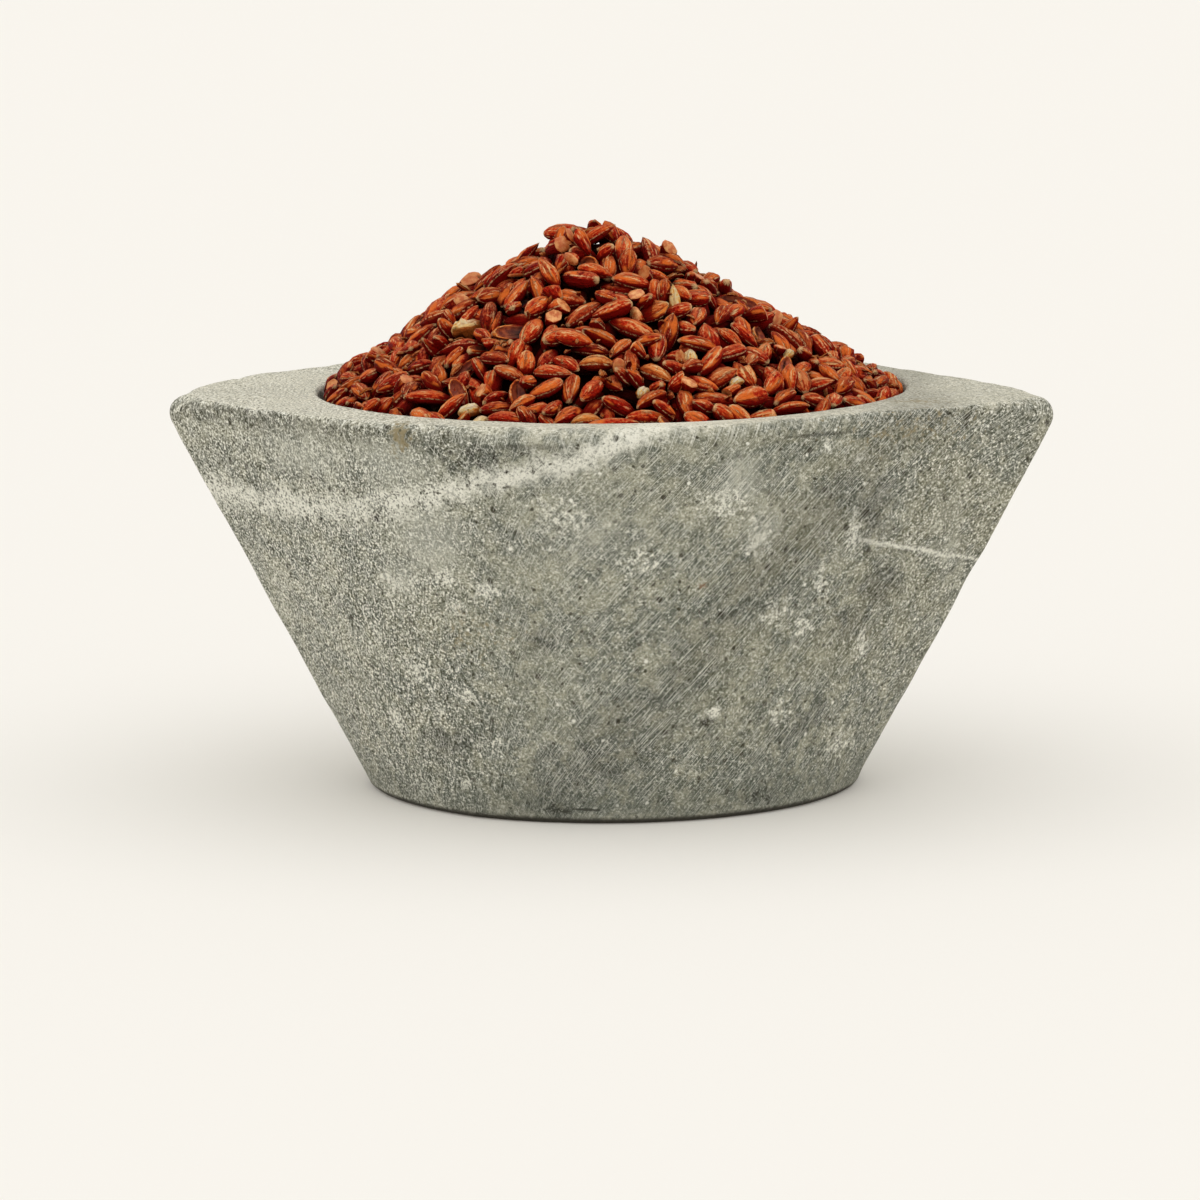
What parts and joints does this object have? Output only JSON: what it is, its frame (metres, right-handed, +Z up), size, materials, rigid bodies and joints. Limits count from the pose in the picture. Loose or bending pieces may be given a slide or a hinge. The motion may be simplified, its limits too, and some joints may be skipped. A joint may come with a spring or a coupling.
{
  "type": "bowl of red rice",
  "caption": "Hand-carved soapstone bowl with pointed lugs and a round hollow, heaped above its rim with dry red rice.",
  "frame": {"origin": "centre of the bowl's flat foot, on the surface it stands on", "axes": "+X to the right lug along the bowl's longest side, +Y to the back, +Z up"},
  "size_m": [0.13, 0.1046, 0.0847],
  "materials": {
    "soapstone": "matte",
    "red_rice": "satin"
  },
  "bodies": {
    "root": {"stone_bowl": "soapstone", "rice_heap": "red_rice"}
  },
  "joints": []
}
